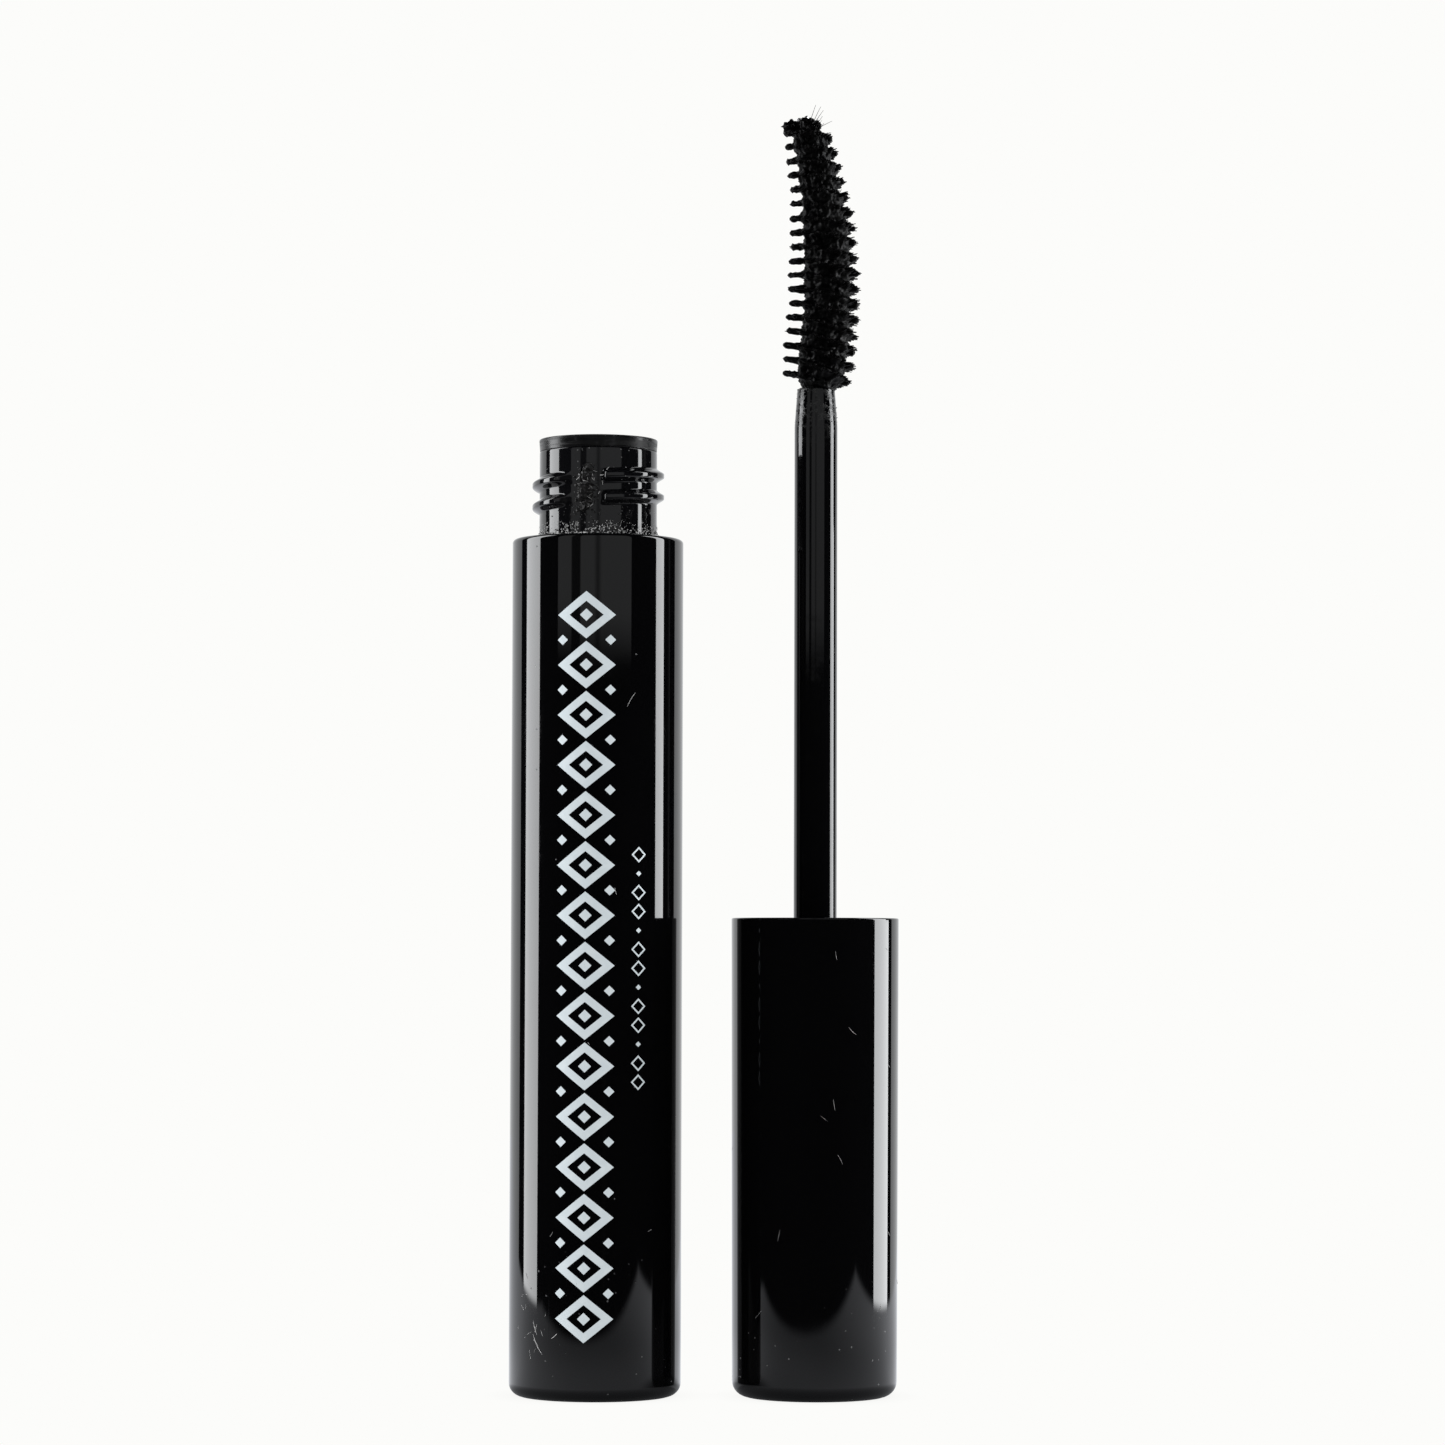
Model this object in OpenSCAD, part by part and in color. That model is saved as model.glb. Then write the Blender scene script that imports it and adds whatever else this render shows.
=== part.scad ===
// Mascara: a double-walled tube with a threaded neck and a wiper, and beside it the
// applicator, which is the cap, its rod and a twisted-in-wire brush. The applicator stands
// upside down on the closed end of its cap, so that the brush points up.
// Millimetres, +Z up. The origin is the centre of the tube's base, and +X runs towards the
// applicator.

/* [Layout] */
// Distance from the tube's axis to the applicator's axis
applicator_x = 21.3; // [20:0.1:40]

/* [Tube] */
// Outer diameter of the tube
tube_d = 16.7; // [16.6:0.1:17.4]
// Height of the tube from its base to its shoulder
tube_h = 83.2; // [80:0.1:90]
// Thickness of the outer tube's wall
tube_wall = 0.9; // [0.8:0.05:0.95]
// Thickness of the outer tube's base
tube_floor = 1.5; // [1:0.1:2]
// Radius of the edge round the base
tube_base_round = 1.3; // [0.8:0.1:1.6]
// Radius of the edge round the shoulder
tube_top_round = 0.6; // [0.3:0.05:0.6]

/* [Inner bottle] */
// Thickness of the bottle's wall
bottle_wall = 0.9; // [0.8:0.05:1.1]
// Gap between the bottle and the outer tube
bottle_gap = 0.25; // [0.15:0.05:0.35]
// Thickness of the disc that closes the top of the outer tube
shoulder_disc_h = 1.3; // [1.1:0.1:1.6]

/* [Neck] */
// Outer diameter of the neck
neck_d = 11.5; // [11.3:0.05:11.6]
// Diameter of the hole through the neck
neck_bore_d = 9.1; // [8.9:0.05:9.3]
// Height of the neck above the shoulder, without the wiper's flange
neck_h = 8.6; // [8.3:0.1:9]

/* [Thread] */
// Outer diameter of the neck's thread
thread_d = 12.9; // [12.7:0.05:13]
// Rise of the thread in one turn
thread_pitch = 2.117; // [2:0.001:2.2]
// Width of the thread where it leaves the neck
thread_root_w = 1.4; // [1.2:0.05:1.4]
// Width of the thread at its crest
thread_crest_w = 0.4; // [0.3:0.05:0.5]
// Height of the thread's crest above the shoulder, on the side away from the applicator
thread_start_h = 3.12; // [3:0.02:3.2]
// Angle that each of the four lengths of the thread covers
thread_run = 154; // [140:1:160]

/* [Wiper] */
// Outer diameter of the wiper's flange
wiper_flange_d = 11.6; // [11.4:0.05:11.7]
// Thickness of the wiper's flange
wiper_flange_h = 1.2; // [1:0.05:1.3]
// Diameter of the hole in the wiper's lip
wiper_hole_d = 4.1; // [4.05:0.05:4.2]

/* [Cap] */
// Diameter of the overcap at its mouth
cap_mouth_d = 16.3; // [16.2:0.05:16.7]
// Diameter of the overcap near its closed end
cap_end_d = 16.0; // [15.9:0.05:16.2]
// Length of the overcap
cap_h = 46.3; // [42:0.1:50]
// Radius of the edge round the closed end
cap_round = 1.5; // [1:0.1:1.8]
// Thickness of the seal washer
washer_h = 1; // [0.8:0.1:1.2]

/* [Rod] */
// Diameter of the rod
rod_d = 4.2; // [4.2:0.05:4.3]
// Diameter of the rod's end, where the brush starts
rod_end_d = 3.65; // [3.4:0.05:3.8]
// Length of the rod from the cap's mouth to the brush
rod_h = 51.9; // [48:0.1:54]

/* [Brush] */
// Number of rows of filaments, one for each half turn of the twisted wire
brush_rows = 18; // [12:1:18]
// Distance from one row to the next along the wire
row_step = 1.46; // [1.4:0.01:1.5]
// Number of filaments in a row
row_filaments = 9; // [6:1:9]
// Diameter of one filament, or of a few that the paste holds together
filament_d = 0.15; // [0.1:0.01:0.15]
// Diameter of the wire that is folded and twisted
wire_d = 0.55; // [0.4:0.05:0.6]
// Radius of the arc that the brush is bent to
bend_r = 62; // [50:1:80]
// Angle at which the brush leaves the rod
bend_start = 9.5; // [8:0.1:13]

/* [Hidden] */
ROW_NAMES = [for (row = [1:brush_rows]) str("bristle_row_", row < 10 ? "0" : "", row)];
$fn = 96;

// Clearance between pieces that are pressed or laid together
fit = 0.03;
// Running clearance between the washer and what turns round it
run_gap = 0.08;

// The outer tube and the bottle inside it
tube_r = tube_d / 2;
shell_bore_r = tube_r - tube_wall;
bottle_r = shell_bore_r - bottle_gap;
bottle_bore_r = bottle_r - bottle_wall;
disc_r = shell_bore_r - fit;
disc_z = tube_h - shoulder_disc_h;
snap_bead = 0.08;
snap_h = 0.4;
snap_z = tube_h - 0.9;
bottle_floor_z = tube_floor + 1.2;
neck_r = neck_d / 2;
neck_bore_r = neck_bore_d / 2;
neck_fillet = 0.25;
neck_top_z = tube_h + neck_h;
neck_cone_top_z = tube_h + 0.7;
neck_cone_h = 4;

// The thread is cut in two places by the mould's parting lines
thread_lengths = 4;
thread_first_angle = 94;
thread_root_sink = 0.25;
thread_step = 7;

// The wiper
wiper_top_z = neck_top_z + wiper_flange_h;
wiper_r = neck_bore_r - fit;
wiper_bore_r = wiper_r - 0.75;
wiper_mouth_r = wiper_bore_r + 0.35;
wiper_lip_top_z = tube_h + 0.3;
wiper_lip_z = tube_h - 3;
wiper_lip_w = 0.45;
wiper_hole_r = wiper_hole_d / 2;
wiper_barb_r = wiper_r + 0.2;
wiper_barb_z = neck_cone_top_z - 1.7;

// The paste
paste_r = bottle_bore_r - fit;
paste_channel_r = 4.2;
paste_floor = 1.8;
paste_top_z = 72;

// The cap, measured up from its closed end
cap_wall = 0.85;
cap_floor = 1.6;
cap_mouth_r = cap_mouth_d / 2;
cap_end_r = cap_end_d / 2;
cap_bore_r = cap_mouth_r - cap_wall - 0.05;
cap_ledge_bore_r = cap_bore_r - 0.7;
cap_mouth_round = 0.15;

// The inner cap's thread takes the neck's thread with room to turn
closed_gap = 0.15;
inner_cap_r = cap_bore_r - 0.2;
inner_bore_r = 6.6;
inner_thread_r = 5.95;
inner_thread_root_w = 1.3;
inner_thread_turns = 1.6;
inner_thread_z = cap_h - 6.1;
inner_thread_angle = 140;
inner_recess = 0.4;
inner_floor = 1.2;
washer_top_z = cap_h + closed_gap - (neck_h + wiper_flange_h);
washer_z = washer_top_z - washer_h;
inner_floor_z = washer_z - run_gap - inner_floor;
skirt_h = 5;
ledge_z = inner_floor_z - skirt_h;
grip_ribs = 8;
grip_rib_r = 0.35;
hub_r = 3.6;
hub_h = 9;
socket_r = rod_d / 2 - fit;

// The rod
rod_r = rod_d / 2;
rod_tip_z = cap_h + rod_h;
rod_foot_z = inner_floor_z - hub_h + 0.6;
rod_shank_r = socket_r - fit;
rod_bead_r = socket_r + 0.15;
rod_bead_z = inner_floor_z - 5;
rod_taper_h = 3.8;
rod_edge = 0.3;

// The brush: its wire lies on a straight line inside the rod and then on an arc
wire_in_rod = 9;
wire_r = wire_d / 2;
wire_offset = wire_r + filament_d / 2 + 0.01;
wire_hole_r = wire_offset + wire_r + 0.03;
wire_turn = 2 * row_step;
wire_sides = 8;
wire_steps_per_turn = 12;
// Bare wire between the rod and the first filament
brush_start = 0.3;
brush_length = brush_start + brush_rows * row_step;
filament_pitch = row_step / row_filaments;

// Half the length of a filament at each distance along the brush
brush_outline = [[0, 2.9], [1.6, 3.4], [3, 3.5], [11, 3.5], [16, 3.3], [19, 2.95], [22, 2.65],
                 [24, 2.5], [25.5, 2.2], [27, 1.7]];

// Point and heading of the wire's centre line at distance s from the rod's end
function heading(s) = s < 0 ? 0 : bend_start - s / bend_r * 180 / PI;
function core_point(s) = s < 0
    ? [0, 0, rod_tip_z + s]
    : [bend_r * (cos(heading(s)) - cos(bend_start)), 0,
       rod_tip_z + bend_r * (sin(bend_start) - sin(heading(s)))];
function core_along(s) = [sin(heading(s)), 0, cos(heading(s))];
// Direction across the centre line, turned by an angle round it
function core_across(s, angle) =
    [cos(angle) * cos(heading(s)), sin(angle), -cos(angle) * sin(heading(s))];
// The filament at the middle of each row lies in the plane of the bend
function twist_at(s) = 90 - 180 * (s - brush_start) / row_step;

// Solid through a list of rings that all have the same number of points
module sweep(rings) {
    sides = len(rings[0]);
    last = len(rings) - 1;
    walls = [for (i = [0:last - 1]) for (j = [0:sides - 1])
        let (a = i * sides + j, b = i * sides + (j + 1) % sides)
        each [[a, a + sides, b], [b, a + sides, b + sides]]];
    start_cap = [for (j = [1:sides - 2]) [0, j, j + 1]];
    end_cap = [for (j = [1:sides - 2]) [last * sides, last * sides + j + 1, last * sides + j]];
    polyhedron(points = [for (ring = rings) each ring],
               faces = concat(walls, start_cap, end_cap), convexity = 10);
}

// Helical ridge on a round wall. It stands outwards if crest_r is over root_r, else inwards.
// Its flanks run on into the wall by sink, so that they cross the wall's surface cleanly.
module thread_ridge(root_r, crest_r, root_w, crest_w, sink, from, to, base_z) {
    outwards = crest_r > root_r;
    foot_r = outwards ? root_r - sink : root_r + sink;
    flank = (root_w - crest_w) / 2 / abs(crest_r - root_r);
    foot_w = root_w / 2 + flank * sink;
    section = [[foot_r, -foot_w], [crest_r, -crest_w / 2], [crest_r, crest_w / 2], [foot_r, foot_w]];
    ordered = outwards ? [for (i = [3:-1:0]) section[i]] : section;
    steps = ceil((to - from) / thread_step);
    sweep([for (i = [0:steps]) let (a = from + (to - from) * i / steps)
        [for (p = ordered) [p[0] * cos(a), p[0] * sin(a), base_z + thread_pitch * a / 360 + p[1]]]]);
}

// Half section of a round bar with its lower and upper edges rounded
module rounded_half(r_low, r_high, h, low_round, high_round) {
    polygon([[0, 0], [r_low - low_round, 0], [r_low, low_round],
             [r_high, h - high_round], [r_high - high_round, h], [0, h]]);
    translate([r_low - low_round, low_round]) circle(low_round);
    translate([r_high - high_round, h - high_round]) circle(high_round);
}

module outer_tube() {
    color([0.05, 0.05, 0.06]) rotate_extrude() difference() {
        rounded_half(tube_r, tube_r, tube_h, tube_base_round, tube_top_round);
        translate([0, tube_floor]) square([shell_bore_r, tube_h]);
        translate([0, snap_z]) square([shell_bore_r + snap_bead, snap_h]);
    }
}

module inner_bottle() {
    color([0.18, 0.18, 0.2]) union() {
        rotate_extrude() polygon([
            [0, tube_floor], [bottle_r, tube_floor], [bottle_r, disc_z], [disc_r, disc_z],
            [disc_r, snap_z], [disc_r + snap_bead, snap_z + snap_h / 2],
            [disc_r, snap_z + snap_h], [disc_r, tube_h],
            [neck_r + neck_fillet, tube_h], [neck_r, tube_h + neck_fillet],
            [neck_r, neck_top_z], [neck_bore_r, neck_top_z],
            [neck_bore_r, neck_cone_top_z], [bottle_bore_r, neck_cone_top_z - neck_cone_h],
            [bottle_bore_r, bottle_floor_z], [0, bottle_floor_z]]);
        for (i = [0:thread_lengths - 1])
            thread_ridge(neck_r, thread_d / 2, thread_root_w, thread_crest_w, thread_root_sink,
                         thread_first_angle + 180 * i, thread_first_angle + 180 * i + thread_run,
                         tube_h + thread_start_h - thread_pitch / 2);
    }
}

module wiper() {
    color([0.3, 0.3, 0.33]) rotate_extrude() polygon([
        [wiper_bore_r, wiper_lip_top_z], [wiper_hole_r, wiper_lip_z + wiper_lip_w],
        [wiper_hole_r, wiper_lip_z], [wiper_hole_r + wiper_lip_w, wiper_lip_z],
        [wiper_r - 0.1, wiper_barb_z - 0.6], [wiper_barb_r, wiper_barb_z],
        [wiper_r, wiper_barb_z + 0.1], [wiper_r, neck_top_z],
        [wiper_flange_d / 2, neck_top_z], [wiper_flange_d / 2, wiper_top_z - 0.15],
        [wiper_flange_d / 2 - 0.15, wiper_top_z], [wiper_mouth_r + 0.2, wiper_top_z],
        [wiper_mouth_r, wiper_top_z - 0.2], [wiper_bore_r, wiper_top_z - 2]]);
}

module mascara_fill() {
    color([0.1, 0.07, 0.07]) rotate_extrude() polygon([
        [0, bottle_floor_z + fit], [paste_r, bottle_floor_z + fit], [paste_r, paste_top_z],
        [paste_r - 0.5, paste_top_z - 1], [paste_channel_r, paste_top_z - 4],
        [paste_channel_r, bottle_floor_z + paste_floor], [0, bottle_floor_z + paste_floor]]);
}

module overcap() {
    color([0.06, 0.06, 0.07]) rotate_extrude() difference() {
        rounded_half(cap_end_r, cap_mouth_r, cap_h, cap_round, cap_mouth_round);
        translate([0, ledge_z]) square([cap_bore_r, cap_h]);
        translate([0, cap_floor]) square([cap_ledge_bore_r, cap_h]);
    }
}

module inner_cap() {
    color([0.35, 0.35, 0.38]) union() {
        rotate_extrude() polygon([
            [inner_bore_r - 0.2, ledge_z + fit], [inner_cap_r, ledge_z + fit],
            [inner_cap_r, cap_h - inner_recess], [inner_bore_r + 0.2, cap_h - inner_recess],
            [inner_bore_r, cap_h - inner_recess - 0.2], [inner_bore_r, inner_floor_z + inner_floor],
            [socket_r, inner_floor_z + inner_floor], [socket_r, rod_bead_z + 0.3],
            [rod_bead_r + fit, rod_bead_z], [socket_r, rod_bead_z - 0.3],
            [socket_r, inner_floor_z - hub_h], [hub_r, inner_floor_z - hub_h],
            [hub_r, inner_floor_z], [inner_bore_r - 0.2, inner_floor_z]]);
        thread_ridge(inner_bore_r, inner_thread_r, inner_thread_root_w, thread_crest_w, thread_root_sink,
                     inner_thread_angle, inner_thread_angle + 360 * inner_thread_turns,
                     inner_thread_z - thread_pitch * inner_thread_angle / 360);
        for (i = [0:grip_ribs - 1])
            rotate([0, 0, 360 * i / grip_ribs])
                translate([cap_bore_r - fit - grip_rib_r, 0, ledge_z + fit])
                    cylinder(h = skirt_h + 6, r = grip_rib_r, $fn = 24);
    }
}

module seal_washer() {
    color([0.75, 0.75, 0.72]) rotate_extrude()
        translate([rod_r + run_gap, washer_z]) square([inner_bore_r - 0.3 - rod_r - run_gap, washer_h]);
}

module rod() {
    color([0.12, 0.12, 0.13]) rotate_extrude() polygon([
        [0, rod_foot_z], [rod_shank_r - 0.3, rod_foot_z], [rod_shank_r, rod_foot_z + 0.5],
        [rod_shank_r, rod_bead_z - 0.25], [rod_bead_r, rod_bead_z], [rod_shank_r, rod_bead_z + 0.25],
        [rod_shank_r, inner_floor_z + inner_floor + run_gap / 2],
        [rod_r, inner_floor_z + inner_floor + run_gap / 2], [rod_r, rod_tip_z - rod_taper_h],
        [rod_end_d / 2, rod_tip_z - rod_edge], [rod_end_d / 2 - rod_edge, rod_tip_z],
        [wire_hole_r, rod_tip_z], [wire_hole_r, rod_tip_z - wire_in_rod - 1],
        [0, rod_tip_z - wire_in_rod - 1]]);
}

// Ring of the wire round its own centre, out along one direction and across another
function wire_ring(centre, out, across) =
    [for (k = [0:wire_sides - 1]) let (a = 360 * k / wire_sides)
        centre + wire_r * (cos(a) * out + sin(a) * across)];
function unit(v) = v / norm(v);
// One leg of the hairpin, on the side of the core that the angle lead says
function leg_centre(s, lead) = core_point(s) + wire_offset * core_across(s, twist_at(s) + lead);
function leg_ring(s, lead, way) =
    let (ds = 0.02,
         along = way * unit(leg_centre(s + ds, lead) - leg_centre(s - ds, lead)),
         radial = core_across(s, twist_at(s) + lead),
         out = unit(radial - (radial * along) * along))
    wire_ring(leg_centre(s, lead), out, cross(along, out));
// The fold, a half circle that joins the two legs inside the rod
function fold_ring(s, turn) =
    let (radial = core_across(s, twist_at(s) + 90),
         down = [0, 0, -1],
         out = cos(turn) * radial + sin(turn) * down,
         along = cos(turn) * down - sin(turn) * radial)
    wire_ring(core_point(s) + wire_offset * out, out, cross(along, out));

module core_wire() {
    start = -wire_in_rod;
    end = brush_length + 0.3;
    steps = ceil((end - start) / wire_turn * wire_steps_per_turn);
    climb = [for (i = [0:steps]) start + (end - start) * i / steps];
    color("silver") translate([applicator_x, 0, 0]) sweep(concat(
        [for (i = [steps:-1:0]) leg_ring(climb[i], 90, -1)],
        [for (turn = [30:30:150]) fold_ring(start, turn)],
        [for (i = [0:steps]) leg_ring(climb[i], -90, 1)]));
}

module bristle_row(row) {
    color([0.04, 0.04, 0.04]) translate([applicator_x, 0, 0])
        for (i = [0:row_filaments - 1]) {
            s = brush_start + row * row_step + (i + 0.5) * filament_pitch;
            translate(core_point(s)) rotate([0, heading(s), 0]) rotate([0, 0, twist_at(s)])
                rotate([0, 90, 0])
                    cylinder(h = 2 * lookup(s, brush_outline), d = filament_d, center = true, $fn = 16);
        }
}

module on_applicator() translate([applicator_x, 0, 0]) children();

outer_tube();
inner_bottle();
wiper();
mascara_fill();
on_applicator() overcap();
on_applicator() inner_cap();
on_applicator() seal_washer();
on_applicator() rod();
core_wire();
for (row = [0:brush_rows - 1]) bristle_row(row);
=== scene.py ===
import math
import random

import bmesh
import bpy
from mathutils import Matrix, Vector, noise


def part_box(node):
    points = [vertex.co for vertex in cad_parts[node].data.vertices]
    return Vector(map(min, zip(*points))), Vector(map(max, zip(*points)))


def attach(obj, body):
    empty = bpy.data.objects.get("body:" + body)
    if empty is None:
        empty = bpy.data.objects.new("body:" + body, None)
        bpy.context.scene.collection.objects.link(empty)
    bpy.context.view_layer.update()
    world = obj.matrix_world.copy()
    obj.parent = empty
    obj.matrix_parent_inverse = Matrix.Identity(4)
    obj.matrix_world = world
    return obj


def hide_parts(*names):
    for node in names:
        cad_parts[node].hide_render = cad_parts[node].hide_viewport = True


# A mascara tube that stands open, and beside it its applicator, upside down on its cap.
# Shapes are built in millimetres, and add_piece() turns them into metres. Angles called facing
# are in degrees round an upright axis, from the side that faces the camera (-Y) towards +X.

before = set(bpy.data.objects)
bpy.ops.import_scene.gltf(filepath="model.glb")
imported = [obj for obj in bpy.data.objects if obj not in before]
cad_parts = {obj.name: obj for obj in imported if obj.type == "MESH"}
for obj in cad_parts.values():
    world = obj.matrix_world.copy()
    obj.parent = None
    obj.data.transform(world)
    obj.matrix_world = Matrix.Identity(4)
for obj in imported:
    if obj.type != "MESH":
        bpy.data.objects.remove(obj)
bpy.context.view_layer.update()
MM = 0.001


def round_size(node):
    """Axis, largest radius, lowest and highest point of a round CAD node, in millimetres."""
    low, high = (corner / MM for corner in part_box(node))
    return (low.x + high.x) / 2, (high.x - low.x) / 2, low.z, high.z


TUBE_X, TUBE_R, _, TUBE_H = round_size("outer_tube")
CAP_X, CAP_MOUTH_R, _, CAP_H = round_size("overcap")
_, LINER_R, LINER_Z, LINER_TOP_Z = round_size("inner_cap")
_, WASHER_R, WASHER_Z, WASHER_TOP_Z = round_size("seal_washer")
_, _, ROD_FOOT_Z, ROD_TIP_Z = round_size("rod")
_, PASTE_R, PASTE_Z, PASTE_TOP_Z = round_size("mascara_fill")
_, _, _, WIPER_TOP_Z = round_size("wiper")

# Tube, bottle and wiper
SHELL_BORE_R, SHELL_FLOOR = 7.45, 1.5
BOTTLE_R, BOTTLE_BORE_R, BOTTLE_FLOOR_Z = 7.2, 6.3, 2.7
DISC_R, DISC_H = 7.42, 1.3
NECK_R, NECK_BORE_R, NECK_H = 5.75, 4.55, 8.6
NECK_TOP_Z = TUBE_H + NECK_H
WIPER_FLANGE_R, WIPER_R, WIPER_BORE_R, WIPER_HOLE_R = 5.8, 4.52, 3.77, 2.05

# Thread of the neck
THREAD_H, THREAD_PITCH = 0.7, 2.117
THREAD_ROOT_W, THREAD_CREST_W = 1.5, 0.3
THREAD_FIRST, THREAD_RUN, THREAD_LENGTHS = 94, 154, 4
THREAD_START_Z = TUBE_H + 3.12 - THREAD_PITCH / 2

# Cap, rod and brush
CAP_END_R, CAP_BORE_R, CAP_LEDGE_BORE_R, CAP_FLOOR = 8.0, 7.25, 6.55, 1.6
LINER_BORE_R, LINER_THREAD_R, HUB_R = 6.6, 5.95, 3.6
ROD_R, ROD_END_R, ROD_TAPER_H, SOCKET_R = 2.1, 1.825, 3.8, 2.07
BEND_R, BEND_START = 62, math.radians(9.5)
BRUSH_ROWS, ROW_STEP, BRUSH_START = 18, 1.46, 0.3
ARMS, CLUMPS, LAST_ROW_REACH = 64, 7, {"left": 1.12, "right": 0.78}
BRUSH_OUTLINE = [(0, 2.9), (1.6, 3.4), (3, 3.5), (11, 3.5), (16, 3.3), (19, 2.95), (22, 2.65),
                 (24, 2.5), (25.5, 2.2), (27, 1.7)]


# ---------------------------------------------------------------- small tools

def clamp(value):
    return min(1.0, max(0.0, value))


def smooth(value):
    value = clamp(value)
    return value * value * (3 - 2 * value)


def mix(first, second, share):
    return first + (second - first) * share


def facing_point(axis_x, facing, radius, z):
    """Point at a facing angle in degrees round an upright axis."""
    angle = math.radians(facing)
    return Vector((axis_x + radius * math.sin(angle), -radius * math.cos(angle), z))


def merged(shapes):
    """Several (points, faces) shapes as one."""
    points, faces = [], []
    for some_points, some_faces in shapes:
        first = len(points)
        points.extend(some_points)
        faces.extend([tuple(first + i for i in face) for face in some_faces])
    return points, faces


def add_piece(name, shape, material, body, stands_for=(), sharp=35):
    """A smooth-shaded mesh piece that rides on a body."""
    mesh = bpy.data.meshes.new(name)
    mesh.from_pydata([Vector(point) * MM for point in shape[0]], [], shape[1])
    mesh.validate()
    mesh.polygons.foreach_set("use_smooth", [True] * len(mesh.polygons))
    mesh.set_sharp_from_angle(angle=math.radians(sharp))
    mesh.materials.append(material)
    piece = bpy.data.objects.new(name, mesh)
    bpy.context.scene.collection.objects.link(piece)
    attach(piece, body)
    if stands_for:
        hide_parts(*stands_for)
    return piece


def rounded(corners, steps=8, support=0.05):
    """Outline of (r, z) points from (r, z, radius) corners. Each rounded corner becomes an arc,
    with a point close outside each end of it, which keeps the long walls' shading straight."""
    outline = []
    count = len(corners)
    for i, corner in enumerate(corners):
        here = Vector(corner[:2])
        radius = corner[2] if len(corner) > 2 else 0
        if not radius:
            outline.append(tuple(here))
            continue
        back = Vector(corners[i - 1][:2]) - here
        on = Vector(corners[(i + 1) % count][:2]) - here
        reach_back, reach_on = back.length, on.length
        back.normalize()
        on.normalize()
        half = back.angle(on) / 2
        cut = radius / math.tan(half)
        centre = here + (back + on).normalized() * radius / math.sin(half)
        if reach_back > cut + 2 * support:
            outline.append(tuple(here + back * (cut + support)))
        start = here + back * cut - centre
        turn = start.angle_signed(here + on * cut - centre)
        for step in range(steps + 1):
            swing = Matrix.Rotation(-turn * step / steps, 2)
            outline.append(tuple(centre + swing @ start))
        if reach_on > cut + 2 * support:
            outline.append(tuple(here + on * (cut + support)))
    return outline


def lathe(outline, axis_x, segments=192, change=None):
    """Turns an outline of (r, z) points round an upright axis. The outline runs up outside and
    down inside. change(radius, z, angle) may move a point, and gives its new (radius, z)."""
    points, faces, rings = [], [], []
    for r, z in outline:
        if r < 1e-6:
            rings.append([len(points)] * segments)
            points.append((axis_x, 0, z))
            continue
        rings.append(list(range(len(points), len(points) + segments)))
        for k in range(segments):
            angle = 2 * math.pi * k / segments
            radius, height = change(r, z, angle) if change else (r, z)
            points.append((axis_x + radius * math.cos(angle), radius * math.sin(angle), height))
    loop = outline[0][0] > 1e-6
    for lower, upper in zip(rings, rings[1:] + (rings[:1] if loop else [])):
        for k in range(segments):
            n = (k + 1) % segments
            corners = [lower[k], lower[n], upper[n], upper[k]]
            face = tuple(dict.fromkeys(corners))
            if len(face) > 2:
                faces.append(face)
    return points, faces


def tube(path, radii, sides=6):
    """Closed round bar along a path."""
    points, faces = [], []
    across = None
    for i, centre in enumerate(path):
        along = (path[min(i + 1, len(path) - 1)] - path[max(i - 1, 0)]).normalized()
        if across is None:
            across = along.orthogonal()
        across = (across - along * across.dot(along)).normalized()
        other = along.cross(across)
        for k in range(sides):
            angle = 2 * math.pi * k / sides
            points.append(centre + (across * math.cos(angle) + other * math.sin(angle)) * radii[i])
    for i in range(len(path) - 1):
        for k in range(sides):
            n = (k + 1) % sides
            a, b = i * sides, (i + 1) * sides
            faces.append((a + k, a + n, b + n, b + k))
    faces.append(tuple(range(sides - 1, -1, -1)))
    faces.append(tuple(range(len(points) - sides, len(points))))
    return points, faces


def round_template():
    """Points and faces of a ball of radius 1, which every lump starts from."""
    ball = bmesh.new()
    bmesh.ops.create_icosphere(ball, subdivisions=2, radius=1)
    shape = [v.co.copy() for v in ball.verts], [tuple(v.index for v in f.verts) for f in ball.faces]
    ball.free()
    return shape


BALL = round_template()


def lump(centre, radius, draw, unevenness=0.35):
    """An uneven crumb."""
    shift = Vector((draw.uniform(0, 90), draw.uniform(0, 90), draw.uniform(0, 90)))
    stretch = Vector((draw.uniform(0.7, 1.3), draw.uniform(0.7, 1.3), draw.uniform(0.6, 1.2)))
    points = []
    for p in BALL[0]:
        swell = 1 + unevenness * noise.noise(p * 1.7 + shift) * 2
        points.append(centre + Vector(a * b for a, b in zip(p * swell * radius, stretch)))
    return points, BALL[1]


def wall_fibre(axis_x, wall_r, facing, z, length, lean, thick, draw):
    """A lint fibre that lies on a round wall, leaning by an angle from the upright."""
    steps = 9
    bow = draw.uniform(-0.2, 0.2)
    path = []
    for i in range(steps + 1):
        share = i / steps - 0.5
        turn = math.radians(lean) + bow * share
        side = share * length * math.sin(turn)
        climb = share * length * math.cos(turn)
        lift = thick * (0.8 + 1.2 * abs(noise.noise(Vector((share * 3, z, facing)))))
        path.append(facing_point(axis_x, facing + math.degrees(side / wall_r), wall_r + lift, z + climb))
    return tube(path, [thick * mix(0.6, 1, 1 - abs(2 * i / steps - 1)) for i in range(steps + 1)], 5)


# ---------------------------------------------------------------- materials

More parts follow.
